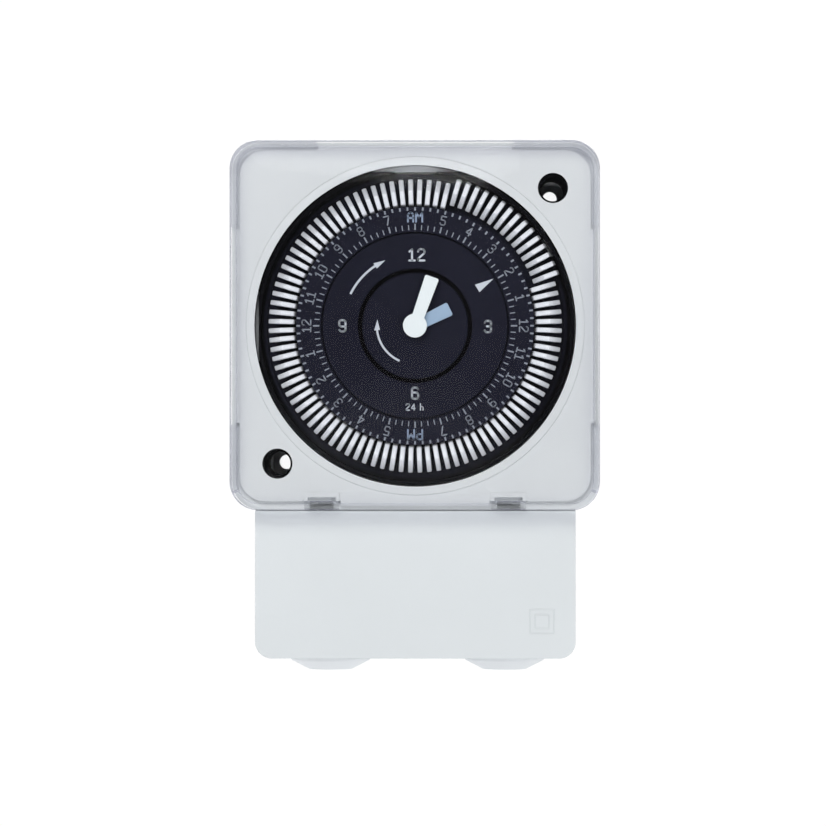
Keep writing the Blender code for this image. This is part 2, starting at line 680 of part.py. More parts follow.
def build_clock():
    revolve(CLOCK_FACE, 40, "clock_face", "dial")
    revolve(CENTRE_DISC, 32, "centre_disc", "dial")
    hour = rod(2.3, 46.6, 47.4, AXIS, 28, "hour_hand", "blue")
    join(hour, prism([blade(7.6, 2.3, 2.74, 63.9)], 46.65, 47.35))
    cut(hour, rod(1.8, 46, 48, AXIS, 20))
    minute = rod(2.33, 47.8, 49.3, AXIS, 32, "minute_hand", "white")
    join(minute, prism([blade(10.1, 2.3, 2.8, 19.5)], 47.9, 48.6))
    cut(minute, rod(1.05, 47, 48.6))


build_wall_base()
build_grommets()
build_terminal_block()
build_terminals()
build_terminal_cover()
build_rear_housing()
build_plug_blades()
build_front_frame()
build_lid()
build_dial_shroud()
build_minute_arbor()
build_hour_wheel()
build_train()
build_motor()
build_gear_plate()
build_plate_screws()
build_movement_plate()
build_switch()
build_electronics()
build_dial_ring()
build_trippers()
build_clock()

for piece in bpy.data.objects:
    piece.data.shade_smooth()
    piece.data.set_sharp_from_angle(angle=math.radians(30))
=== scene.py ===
# A 24 hour wall time switch: wall base, terminal cover, housing, frame, tripper dial, clear lid.
# It hangs on a wall in the plane y = 0 and faces -y, with +z up and +x to the right.
# The dial's axis is the y axis. Lengths are in mm, and a depth is the distance in front of
# the wall (-y). Outlines are (x, z) points. Angles are in degrees from +x towards +z.
import math
import bpy
import bmesh
from mathutils import Matrix, Vector
from mathutils.geometry import tessellate_polygon


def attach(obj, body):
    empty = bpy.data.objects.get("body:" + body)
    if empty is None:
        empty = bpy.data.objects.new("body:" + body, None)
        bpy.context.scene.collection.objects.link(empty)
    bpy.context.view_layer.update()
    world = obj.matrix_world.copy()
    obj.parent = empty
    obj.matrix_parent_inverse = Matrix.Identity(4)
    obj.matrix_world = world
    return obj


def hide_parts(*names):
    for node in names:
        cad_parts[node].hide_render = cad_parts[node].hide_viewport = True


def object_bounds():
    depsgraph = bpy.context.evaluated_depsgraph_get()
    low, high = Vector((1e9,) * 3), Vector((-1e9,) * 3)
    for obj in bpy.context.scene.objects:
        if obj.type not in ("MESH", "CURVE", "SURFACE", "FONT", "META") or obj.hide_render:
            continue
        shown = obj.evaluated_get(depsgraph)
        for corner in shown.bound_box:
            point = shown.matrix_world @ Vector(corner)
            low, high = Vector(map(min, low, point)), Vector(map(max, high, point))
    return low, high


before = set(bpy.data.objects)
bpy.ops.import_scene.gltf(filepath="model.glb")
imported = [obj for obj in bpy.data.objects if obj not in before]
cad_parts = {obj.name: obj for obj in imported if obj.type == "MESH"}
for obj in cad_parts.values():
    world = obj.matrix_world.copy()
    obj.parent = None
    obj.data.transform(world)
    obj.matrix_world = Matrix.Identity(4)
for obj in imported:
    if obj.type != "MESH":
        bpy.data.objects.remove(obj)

cad_low, cad_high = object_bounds()

MM = 0.001
ORIGIN = (0.0, 0.0)
SIDES = (-1, 1)                      # left, right

BASE_HALF, BASE_BOTTOM, BASE_CORNER = 31.5, -65.3, 3.3
BASE_DEPTH = 21
CABLE_X, CABLE_DEPTH = 17.7, 10.5    # upright axes of the two grommets
HOUSING_BACK, HOUSING_FRONT = 21.3, 41.7
HOUSING_HALF, HOUSING_CORNER, HOUSING_WALL = 33.8, 3.5, 1.2
SCREWS = ((27, 27), (-27, -27))      # holes through base, housing and frame
FRAME_HALF, FRAME_CORNER = 36.0, 5.5
BORE = 31.5                          # radius of the frame's opening
NOTCH_ANGLE = 31.0                   # of the notch in frame and shroud, and the face pointer
HINGE_X = 18.3
HINGE_DEPTH, HINGE_Z = HINGE = (45.5, -35.2)
FACE_FRONT = 46.5                    # front of the dial and the clock face
PRINT = (46.47, 46.53)               # depths of the print on them
TRIPPERS = 96
PITCH = 360 / TRIPPERS
TRIPPER_R, TRIPPER_DEPTH, TRIPPER_WIDTH, TRIPPER_TILT = 26.7, 41.5, 0.92, 15.5


# ------------------------------------------------------------------ materials
class Shader:
    """A node tree and its main node, with short ways to add and link nodes."""

    def __init__(self, tree, main):
        self.tree = tree
        self.main = tree.nodes[main]

    def set(self, node, **values):
        for name, value in values.items():
            node.inputs[name.replace("_", " ")].default_value = value

    def add(self, kind, **values):
        node = self.tree.nodes.new("ShaderNode" + kind)
        self.set(node, **values)
        return node

    def link(self, source, target):
        self.tree.links.new(source, target)

    def feed(self, source, name):
        self.link(source, self.main.inputs[name])

    def coords(self):
        return self.add("TexCoord").outputs["Object"]

    def noise(self, vector, **values):
        node = self.add("TexNoise", **values)
        self.link(vector, node.inputs["Vector"])
        return node.outputs["Fac"]

    def ramp(self, factor, dark, light, start=0.0, end=1.0):
        node = self.add("ValToRGB")
        first, last = node.color_ramp.elements
        first.position, last.position = start, end
        first.color, last.color = (*dark, 1), (*light, 1)
        self.link(factor, node.inputs["Fac"])
        return node.outputs["Color"]

    def spread(self, value, low, high):
        node = self.add("MapRange", To_Min=low, To_Max=high)
        self.link(value, node.inputs["Value"])
        return node.outputs["Result"]

    def bump(self, height, strength, distance):
        node = self.add("Bump", Strength=strength, Distance=distance)
        self.link(height, node.inputs["Height"])
        return node.outputs["Normal"]

    def math(self, operation, left, right):
        node = self.add("Math")
        node.operation = operation
        self.link(left, node.inputs[0])
        if isinstance(right, float):
            node.inputs[1].default_value = right
        else:
            self.link(right, node.inputs[1])
        return node.outputs["Value"]

    def mix(self, factor, first, second):
        node = self.add("MixShader")
        for index, source in enumerate((factor, first, second)):
            self.link(source, node.inputs[index])
        return node.outputs["Shader"]


def new_material(name):
    material = bpy.data.materials.new(name)
    material.use_nodes = True
    return material, Shader(material.node_tree, "Principled BSDF")


def plastic(name, dark, light, rough, grain, bump, coat=0.0, subsurface=0.0, specular=0.5):
    """Moulded plastic: fine grain in bump and roughness, soft cloudy colour drift."""
    material, shader = new_material(name)
    coords = shader.coords()
    clouds = shader.noise(coords, Scale=22.0, Detail=3)
    fine = shader.noise(coords, Scale=grain, Detail=4, Roughness=0.6)
    shader.feed(shader.ramp(clouds, dark, light, start=0.35, end=0.65), "Base Color")
    shader.feed(shader.spread(fine, rough - 0.06, rough + 0.06), "Roughness")
    shader.feed(shader.bump(fine, strength=bump, distance=0.00012), "Normal")
    shader.set(shader.main, Coat_Weight=coat, Coat_Roughness=0.12, Specular_IOR_Level=specular)
    if subsurface:
        shader.set(shader.main, Subsurface_Weight=subsurface, Subsurface_Scale=1.0,
                   Subsurface_Radius=(0.0012, 0.0011, 0.001))
    return material


def metal(name, dark, light, rough):
    """Metal with a grain drawn out along x."""
    material, shader = new_material(name)
    coords = shader.coords()
    stretch = shader.add("Mapping", Scale=(40, 1200, 1200))
    shader.link(coords, stretch.inputs["Vector"])
    grain = shader.noise(stretch.outputs["Vector"], Scale=3.0, Detail=6)
    shader.feed(shader.ramp(grain, dark, light), "Base Color")
    shader.set(shader.main, Metallic=1.0)
    shader.feed(shader.spread(grain, rough - 0.08, rough + 0.1), "Roughness")
    shader.feed(shader.bump(grain, strength=0.05, distance=0.0001), "Normal")
    return material


def winding(name):
    """Copper wire wound in fine turns stacked along z."""
    material, shader = new_material(name)
    coords = shader.coords()
    wave = shader.add("TexWave", Scale=1400, Distortion=0.6)
    wave.bands_direction = "Z"
    shader.link(coords, wave.inputs["Vector"])
    turns = wave.outputs["Fac"]
    shader.feed(shader.ramp(turns, (0.22, 0.07, 0.025), (0.62, 0.26, 0.10)), "Base Color")
    shader.set(shader.main, Metallic=0.85, Roughness=0.28)
    shader.feed(shader.bump(turns, strength=0.5, distance=0.0001), "Normal")
    return material


def clear(name):
    """Clear plastic: see-through face on, lavender grey and glossy where seen on edge."""
    face_tint, edge_tint = (0.964, 0.967, 0.970), (0.62, 0.62, 0.73)
    material, shader = new_material(name)
    ripple = shader.noise(shader.coords(), Scale=45, Detail=3)
    normal = shader.bump(ripple, strength=0.012, distance=0.0003)
    through = shader.add("BsdfTransparent", Color=(*face_tint, 1))
    gloss = shader.add("BsdfGlossy", Roughness=0.05, Color=(1, 1, 1, 1))
    shader.link(normal, gloss.inputs["Normal"])
    edge = shader.add("LayerWeight", Blend=0.5).outputs["Facing"]
    shader.feed(shader.ramp(ripple, (0.64, 0.64, 0.71), (0.72, 0.725, 0.79)), "Base Color")
    shader.set(shader.main, Roughness=0.25)
    rise = shader.math("POWER", edge, 3.8)
    hazy = shader.mix(shader.spread(rise, low=0.002, high=0.66),
                      through.outputs["BSDF"], shader.main.outputs["BSDF"])
    mirror = shader.spread(shader.math("POWER", edge, 5.0), low=0.04, high=1.0)
    tint = shader.ramp(shader.math("POWER", edge, 2.2), face_tint, edge_tint)
    shader.link(tint, through.inputs["Color"])
    share = shader.math("MULTIPLY", mirror, shader.spread(rise, low=0.08, high=0.9))
    surface = shader.mix(share, hazy, gloss.outputs["BSDF"])
    shader.link(surface, shader.tree.nodes["Material Output"].inputs["Surface"])
    return material


# key: name, dark colour, light colour, roughness, grain scale, bump strength
PLASTICS = {
    "plate": ("frame_plastic", (0.655, 0.678, 0.692), (0.690, 0.712, 0.724), 0.38, 1400, 0.05),
    "base": ("base_plastic", (0.615, 0.65, 0.668), (0.645, 0.68, 0.70), 0.46, 1100, 0.10),
    "black": ("black_plastic", (0.0035, 0.0035, 0.0045), (0.006, 0.006, 0.008), 0.42, 1300, 0.06),
    # near black with no gloss: the shroud's own matte black, and painted shade inside the housing
    # and on the walls of holes and wells in the frame and clock face
    "black_and_shade": ("shroud_black_and_painted_shade", (0.003, 0.003, 0.004), (0.005, 0.005, 0.0065), 0.55, 900, 0.004),
    "dial": ("dial_plastic", (0.0098, 0.0102, 0.02), (0.0126, 0.0131, 0.0238), 0.60, 1500, 0.012),
    "white": ("tripper_plastic", (0.80, 0.82, 0.87), (0.86, 0.88, 0.92), 0.32, 1500, 0.03),
    "hand": ("minute_hand_paint", (0.84, 0.90, 0.91), (0.88, 0.94, 0.95), 0.30, 1600, 0.02),
    "blue": ("hour_hand_paint", (0.27, 0.39, 0.54), (0.33, 0.46, 0.62), 0.32, 1600, 0.03),
    "print": ("dial_print", (0.20, 0.225, 0.275), (0.27, 0.295, 0.35), 0.55, 2500, 0.05),
    "printblue": ("dial_print_blue", (0.20, 0.26, 0.38), (0.26, 0.33, 0.46), 0.55, 2500, 0.05),
    "printhi": ("face_print", (0.52, 0.56, 0.62), (0.62, 0.66, 0.72), 0.55, 2500, 0.05),
    "rubber": ("grommet_rubber", (0.72, 0.75, 0.78), (0.78, 0.81, 0.84), 0.55, 800, 0.12),
    "gear": ("acetal", (0.74, 0.72, 0.63), (0.82, 0.80, 0.72), 0.35, 1200, 0.05),
    "green": ("solder_mask", (0.010, 0.12, 0.05), (0.02, 0.20, 0.085), 0.28, 500, 0.06),
}
EXTRAS = {
    "black": {"specular": 0.30},
    "black_and_shade": {"specular": 0.0},
    "dial": {"specular": 0.03},
    "white": {"subsurface": 0.06},
    "gear": {"subsurface": 0.05},
    "green": {"coat": 0.4},
}
MAT = {key: plastic(*values, **EXTRAS.get(key, {})) for key, values in PLASTICS.items()}
MAT["steel"] = metal("steel", dark=(0.42, 0.43, 0.44), light=(0.66, 0.66, 0.67), rough=0.3)
MAT["brass"] = metal("brass", dark=(0.55, 0.38, 0.14), light=(0.82, 0.62, 0.30), rough=0.26)
MAT["copper"] = winding("enamelled_copper")
MAT["clear"] = clear("clear_polycarbonate")


# ------------------------------------------------------------------- outlines
def spin(x, z, angle):
    """Turn a point about the origin by an angle in radians."""
    return (x * math.cos(angle) - z * math.sin(angle), x * math.sin(angle) + z * math.cos(angle))


def polar(radius, degrees):
    return (radius * math.cos(math.radians(degrees)), radius * math.sin(math.radians(degrees)))


def circle(radius, count, centre=ORIGIN, start=0.0):
    angles = [start + 2 * math.pi * i / count for i in range(count)]
    return [(centre[0] + radius * math.cos(angle), centre[1] + radius * math.sin(angle))
            for angle in angles]


def rect(x0, x1, z0, z1, radius=0.0, steps=8, corners=(1, 1, 1, 1)):
    """Rectangle from its lower left corner; corners marks the ones that are rounded."""
    points = []
    table = ((x0, z0, 1, 1, 180), (x1, z0, -1, 1, 270), (x1, z1, -1, -1, 0), (x0, z1, 1, -1, 90))
    for (x, z, inward_x, inward_z, start), is_round in zip(table, corners):
        if not is_round or radius == 0:
            points.append((x, z))
            continue
        x, z = x + inward_x * radius, z + inward_z * radius
        for i in range(steps + 1):
            angle = math.radians(start + 90 * i / steps)
            points.append((x + radius * math.cos(angle), z + radius * math.sin(angle)))
    return points


def square(half, *rounding):
    return rect(-half, half, -half, half, *rounding)


def lower_right(half, radius, steps):
    """Rounded lower right corner of a square about the origin."""
    return square(half, radius, steps)[steps + 1:2 * steps + 2]


def four_sides(side):
    """Repeat one side of an outline in four quarter turns."""
    return [spin(x, z, math.pi / 2 * quarter) for quarter in range(4) for x, z in side]


def rounded(profile, radii, steps=4):
    """Round the corners of a closed outline; radii maps a corner's index to its radius."""
    out, count = [], len(profile)
    for i, corner in enumerate(profile):
        radius = radii.get(i, 0)
        if not radius:
            out.append(corner)
            continue
        corner, before = Vector(corner), Vector(profile[i - 1])
        after = Vector(profile[(i + 1) % count])
        back, ahead = (before - corner).normalized(), (after - corner).normalized()
        half = math.acos(max(-1, min(1, back.dot(ahead)))) / 2
        reach = min(radius / math.tan(half),
                    (before - corner).length * 0.49, (after - corner).length * 0.49)
        start, end = corner + back * reach, corner + ahead * reach
        for k in range(steps + 1):
            part = k / steps
            point = start.lerp(corner, part).lerp(corner.lerp(end, part), part)
            out.append((point.x, point.y))
    return out


# --------------------------------------------------------------------- solids
def make(name, verts, faces, mat=None):
    """Mesh object from points in mm, its normals facing out."""
    mesh = bpy.data.meshes.new(name)
    mesh.from_pydata([tuple(c * MM for c in vert) for vert in verts], [], faces)
    bm = bmesh.new()
    bm.from_mesh(mesh)
    bmesh.ops.recalc_face_normals(bm, faces=bm.faces)
    bm.to_mesh(mesh)
    bm.free()
    return add_object(name, mesh, mat)


def add_object(name, mesh, mat=None):
    ob = bpy.data.objects.new(name, mesh)
    bpy.context.scene.collection.objects.link(ob)
    if mat:
        mesh.materials.append(MAT[mat])
    return ob


def facing(point, depth):
    """Place an (x, z) point at a depth."""
    return (point[0], -depth, point[1])


def along_x(point, x):
    """Place a (depth, z) point at an x."""
    return (x, -point[0], point[1])


def upright(x, depth):
    """Placing function for a vertical axis at x and depth."""
    return lambda point, height: (x + point[0], -(depth + point[1]), height)


def extrude(loops, start, end, name="part", mat=None, place=facing):
    """Prism from an outline and any holes in it."""
    verts, faces, index = [], [], []
    for loop in loops:
        count, first = len(loop), len(verts)
        verts += [place(p, start) for p in loop] + [place(p, end) for p in loop]
        for i in range(count):
            a, b = first + i, first + (i + 1) % count
            faces.append((a, b, b + count, a + count))
            index.append((a, a + count))
    if len(loops) == 1:
        caps = [tuple(range(len(loops[0])))]
    else:
        caps = tessellate_polygon([[Vector((x, z, 0)) for x, z in loop] for loop in loops])
    for cap in caps:
        faces.append(tuple(index[i][0] for i in cap))
        faces.append(tuple(index[i][1] for i in reversed(cap)))
    return make(name, verts, faces, mat)


def revolve(profile, count, name="part", mat=None, place=facing):
    """Turn a closed (radius, height) profile about an axis."""
    verts, faces, rows = [], [], []
    for radius, height in profile:
        first = len(verts)
        if radius < 1e-6:
            rows.append([first] * count)
            verts.append(place(ORIGIN, height))
        else:
            rows.append([first + i for i in range(count)])
            verts += [place(point, height) for point in circle(radius, count)]
    for k, row in enumerate(rows):
        following = rows[(k + 1) % len(rows)]
        for i in range(count):
            j = (i + 1) % count
            face = tuple(dict.fromkeys((row[i], row[j], following[j], following[i])))
            if len(face) > 2:
                faces.append(face)
    return make(name, verts, faces, mat)


def box(xs, depths, zs, radius=0.0):
    return extrude([rect(*xs, *zs, radius)], *depths)


def rod(radius, start, end, centre=ORIGIN, count=48):
    return extrude([circle(radius, count, centre)], start, end)


def boolean(ob, others, operation):
    for other in others:
        modifier = ob.modifiers.new("boolean", "BOOLEAN")
        modifier.operation, modifier.object, modifier.solver = operation, other, "EXACT"
        bpy.context.view_layer.update()
        graph = bpy.context.evaluated_depsgraph_get()
        mesh = bpy.data.meshes.new_from_object(ob.evaluated_get(graph))
        ob.modifiers.clear()
        ob.data = mesh
        bpy.data.objects.remove(other, do_unlink=True)


def cut(ob, *others):
    boolean(ob, others, "DIFFERENCE")


def join(ob, *others):
    boolean(ob, others, "UNION")


def bevel(ob, width, segments, angle):
    modifier = ob.modifiers.new("edge", "BEVEL")
    modifier.width, modifier.segments = width * MM, segments
    modifier.limit_method, modifier.angle_limit = "ANGLE", math.radians(angle)
    return modifier


def smooth(ob, angle=35):
    ob.data.shade_smooth()
    ob.data.set_sharp_from_angle(angle=math.radians(angle))
    return ob


def soften(ob, width, segments=2, angle=35):
    """Moulded edges: a small radius on every sharp edge."""
    bm = bmesh.new()
    bm.from_mesh(ob.data)
    bmesh.ops.remove_doubles(bm, verts=bm.verts, dist=2e-6)
    bmesh.ops.dissolve_limit(bm, angle_limit=math.radians(0.5), verts=bm.verts, edges=bm.edges)
    bm.to_mesh(ob.data)
    bm.free()
    modifier = bevel(ob, width, segments, angle)
    modifier.use_clamp_overlap, modifier.miter_outer = True, "MITER_ARC"
    return smooth(ob)


def turned(ob, degrees):
    """Turn a piece about the dial's axis."""
    ob.data.transform(Matrix.Rotation(-math.radians(degrees), 4, "Y"))
    return ob


def merge(name, obs, mat):
    """Several closed shells as one piece."""
    bm = bmesh.new()
    for ob in obs:
        bm.from_mesh(ob.data)
    mesh = bpy.data.meshes.new(name)
    bm.to_mesh(mesh)
    bm.free()
    for ob in obs:
        bpy.data.objects.remove(ob, do_unlink=True)
    return add_object(name, mesh, mat)


def paint(ob, *mats):
    ob.data.materials.clear()
    for mat in mats:
        ob.data.materials.append(MAT[mat])


def darken(ob, is_dark):
    """Give the second material, painted shade, to the faces that is_dark(centre, normal) picks.
    """
    for polygon in ob.data.polygons:
        if is_dark(polygon.center / MM, polygon.normal):
            polygon.material_index = 1


def put(ob, body, slot, *nodes):
    """Attach a piece to the body it rides and hide the CAD nodes it replaces; its slot is not
    used.
    """
    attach(ob, body)
    if nodes:
        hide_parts(*nodes)


# ---------------------------------------------------------------------- print
CUT = 0.13          # chamfer of a digit's corners; the characters are 1 high
WIDE = 0.56         # usual width
RIGHT, TOP = WIDE - CUT, 1 - CUT
WIDTHS = {"1": 0.48, "M": 0.66, "4": 0.58, "h": 0.42, " ": 0.25}
GAP = 0.30          # between characters
# pen strokes of each character, as (x, z) points
GLYPHS = {
    "0": [[(CUT, 0), (RIGHT, 0), (WIDE, CUT), (WIDE, TOP), (RIGHT, 1), (CUT, 1), (0, TOP),
           (0, CUT), (CUT, 0)]],
    "1": [[(0.02, 0.78), (0.24, 1), (0.24, 0)], [(0.0, 0), (0.48, 0)]],
    "2": [[(0, 0.80), (0, TOP), (CUT, 1), (RIGHT, 1), (WIDE, TOP), (WIDE, 0.66), (0, 0.16),
           (0, 0), (WIDE, 0)]],
    "3": [[(0, 0.84), (0, TOP), (CUT, 1), (RIGHT, 1), (WIDE, TOP), (WIDE, 0.63), (0.45, 0.52),
           (WIDE, 0.41), (WIDE, CUT), (RIGHT, 0), (CUT, 0), (0, CUT), (0, 0.16)],
          [(0.2, 0.52), (0.45, 0.52)]],
    "4": [[(0.42, 0), (0.42, 1), (0, 0.32), (0, 0.26), (0.58, 0.26)]],
    "5": [[(0.54, 1), (0.02, 1), (0.02, 0.56), (RIGHT, 0.56), (WIDE, 0.56 - CUT), (WIDE, CUT),
           (RIGHT, 0), (CUT, 0), (0, CUT), (0, 0.16)]],
    "6": [[(0.54, 0.86), (0.54, TOP), (0.54 - CUT, 1), (CUT, 1), (0, TOP), (0, CUT), (CUT, 0),
           (RIGHT, 0), (WIDE, CUT), (WIDE, 0.56 - CUT), (RIGHT, 0.56), (0, 0.56)]],
    "7": [[(0, 1), (WIDE, 1), (WIDE, 0.86), (0.22, 0)]],
    "8": [[(CUT, 0.53), (0, 0.53 - CUT), (0, CUT), (CUT, 0), (RIGHT, 0), (WIDE, CUT),
           (WIDE, 0.53 - CUT), (RIGHT, 0.53), (CUT, 0.53), (0, 0.53 + CUT), (0, TOP), (CUT, 1),
           (RIGHT, 1), (WIDE, TOP), (WIDE, 0.53 + CUT), (RIGHT, 0.53)]],
    "9": [[(0.02, 0.14), (0.02, CUT), (0.02 + CUT, 0), (RIGHT, 0), (WIDE, CUT), (WIDE, TOP),
           (RIGHT, 1), (CUT, 1), (0, TOP), (0, 0.44 + CUT), (CUT, 0.44), (WIDE, 0.44)]],
    "A": [[(0, 0), (0, 1 - CUT * 1.6), (CUT * 1.6, 1), (WIDE - CUT * 1.6, 1),
           (WIDE, 1 - CUT * 1.6), (WIDE, 0)], [(0, 0.40), (WIDE, 0.40)]],
    "M": [[(0, 0), (0, 1), (0.33, 0.45), (0.66, 1), (0.66, 0)]],
    "P": [[(0, 0), (0, 1), (RIGHT, 1), (WIDE, TOP), (WIDE, 0.45 + CUT), (RIGHT, 0.45),
           (0, 0.45)]],
    "h": [[(0, 0), (0, 1)], [(0, 0.58), (0.42 - CUT, 0.58), (0.42, 0.58 - CUT), (0.42, 0)]],
    " ": [],
}


def letters(text, height, centre, degrees=90, stroke=0.15):
    """Characters drawn with a round pen, their tops pointing along degrees (90 is up)."""
    pen = stroke * height / 2
    scale = height - 2 * pen
    left = -(sum(WIDTHS.get(char, WIDE) for char in text) + GAP * (len(text) - 1)) / 2
    turn, verts, faces = math.radians(degrees - 90), [], []
    for char in text:
        for line in GLYPHS[char]:
            line = [Vector(((left + x) * scale, (z - 0.5) * scale)) for x, z in line]
            for start, end in zip(line, line[1:]):
                heading = math.atan2(end.y - start.y, end.x - start.x)
                outline = []
                for point, quarter in ((end, -math.pi / 2), (start, math.pi / 2)):
                    for i in range(6):
                        angle = heading + quarter + math.pi * i / 5
                        outline.append(spin(point.x + pen * math.cos(angle),
                                            point.y + pen * math.sin(angle), turn))
                first, count = len(verts), len(outline)
                for depth in PRINT:
                    verts += [(centre[0] + x, -depth, centre[1] + z) for x, z in outline]
                faces.append(tuple(first + i for i in range(count)))
                faces.append(tuple(first + count + i for i in reversed(range(count))))
                for i in range(count):
                    a, b = first + i, first + (i + 1) % count
                    faces.append((a, a + count, b + count, b))
        left += WIDTHS.get(char, WIDE) + GAP
    return make("text", verts, faces)


def radial_mark(inner, outer, width, degrees):
    half = width / 2
    return turned(extrude([[(inner, -half), (outer, -half), (outer, half), (inner, half)]],
                          *PRINT), degrees)


def arc_arrow(radius, start, end, width, head, depths):
    """Clockwise arc with an arrow head at its end."""
    steps = 28
    neck = end + math.degrees(head * 1.9 / radius)
    angles = [start + (neck - start) * i / steps for i in range(steps + 1)]
    outer = [polar(radius + width / 2, angle) for angle in angles]
    inner = [polar(radius - width / 2, angle) for angle in angles]
    tip = [polar(radius + head * 0.52, neck), polar(radius, end),
           polar(radius - head * 0.52, neck)]
    return extrude([outer + tip + inner[::-1]], *depths)


# ------------------------------------------------------------- base and cover
def wall_base():
    """Open tray against the wall, with screw holes, slots and two cable holes."""
    back = (-1, 3)      # depths of a cut through the back wall
    base = extrude([rect(-BASE_HALF, BASE_HALF, BASE_BOTTOM, BASE_HALF, BASE_CORNER)],
                   0, BASE_DEPTH, "base_shell")
    cut(base, extrude([rect(-29.7, 29.7, -63.5, 29.7, 1.6)], 2, BASE_DEPTH + 2))
    for centre in SCREWS:
        cut(base, rod(1.45, *back, centre, 32))
    cut(base, box((-2.25, 2.25), back, (18, 26), 2.2))
    for side in SIDES:
        cut(base, box((side * 24 - 2.25, side * 24 + 2.25), back, (-46, -41), 2.2))
        cut(base, revolve([(0, -62), (6.5, -62), (6.5, -66.5), (0, -66.5)], 48,
                          place=upright(side * CABLE_X, CABLE_DEPTH)))
    paint(base, "base")
    put(soften(base, 0.35, 3), "case", "base_grey", "wall_base")


# radius, height above the base's bottom
GROMMET = [(0, -3.7), (4.4, -3.7), (4.8, -3.5), (8.3, -1.7), (8.3, -0.3), (6.15, -0.3),
           (6.15, 2.1), (7.6, 2.1), (7.6, 3.1), (5.0, 3.1), (4.2, -2.7), (0, -2.7)]


def grommets():
    profile = rounded([(radius, BASE_BOTTOM + height) for radius, height in GROMMET],
                      {1: 0.3, 2: 0.8, 3: 1.3, 4: 0.15, 7: 0.2, 8: 0.2}, 6)
    for name, side in zip(("left", "right"), SIDES):
        grommet = revolve(profile, 72, "grommet_" + name, "rubber",
                          upright(side * CABLE_X, CABLE_DEPTH))
        put(smooth(grommet), "case", "grommet", "cable_grommet_" + name)


def terminal_cover():
    """Hollow cover below the frame, with a lower step along its top."""
    back, front, step_front = 21.3, 44, 41.4
    mark_x, mark_z = 24.9, -58.0
    square_top = (1, 1, 0, 0)
    cover = extrude([rect(-BASE_HALF, BASE_HALF, BASE_BOTTOM, -36.3, BASE_CORNER, 10,
                          square_top)], back, front, "cover_shell")
    join(cover, box((-BASE_HALF, BASE_HALF), (back, step_front), (-40, -34.1)))
    cut(cover, extrude([rect(-29.9, 29.9, -63.7, -38, 2.0, 8, square_top)], 20, 42.3))
    cut(cover, box((-29.9, 29.9), (20, 39.8), (-38.5, -33)))
    # slope along the top of the front, as (depth, z)
    slope = [(44.6, -36.0), (43.55, -36.0), (44.001, -41.1), (44.6, -41.1)]
    cut(cover, extrude([slope], -33, 33, place=along_x))
    for outer, inner in ((2.5, 2.22), (1.5, 1.22)):      # moulded double square mark
        loops = [rect(mark_x - half, mark_x + half, mark_z - half, mark_z + half, radius, 3)
                 for half, radius in ((outer, 0.3), (inner, 0.1))]
        cut(cover, extrude(loops, 43.86, 45))
    paint(cover, "base")
    put(soften(cover, 0.7, 4, 50), "cover", "base_grey", "terminal_cover")


# ---------------------------------------------------------- housing and frame
def rear_housing():
    """Square black tray with hollow posts in its corners and three slots near the bottom."""
    inner = HOUSING_HALF - HOUSING_WALL
    housing = extrude([square(HOUSING_HALF, HOUSING_CORNER)], HOUSING_BACK, HOUSING_FRONT,
                      "housing_shell")
    cut(housing, extrude([square(inner, HOUSING_CORNER - HOUSING_WALL)], 22.8, 43))
    for centre in SCREWS:
        join(housing, rod(3.7, 22.0, HOUSING_FRONT, centre))
        cut(housing, rod(2.4, 20, 43, centre))
    for centre in ((-28.6, 28.6), (28.6, -28.6)):
        join(housing, rod(2.4, 22.0, 34.9, centre))
        cut(housing, rod(1.5, 28, 36, centre))
    for x in (-10.5, 0.0, 10.5):
        cut(housing, box((x - 1.6, x + 1.6), (20, 24), (-30.3, -28.9)))
    paint(housing, "black", "black_and_shade")
    soften(housing, 0.3)
    # Painted shade: the inner faces of the tray get the near-black material with no gloss.
    darken(housing, lambda centre, normal: max(abs(centre.x), abs(centre.z)) < 33.0)
    put(housing, "case", "black_plastic", "rear_housing")


def is_frame_dark(centre, normal):
    """The walls of the screw holes, and of the bore where the black rim runs beside it: painted
    shade, near black on the grey frame.
    """
    if abs(normal.y) >= 0.3:
        return False
    if any(math.hypot(centre.x - x, centre.z - z) < 3.1 for x, z in SCREWS):
        return True
    angle = math.degrees(math.atan2(centre.z, centre.x)) % 360
    return (31.2 < math.hypot(centre.x, centre.z) < 31.8
            and abs(angle - 90) > 15.5 and abs(angle - 180) > 13.5)


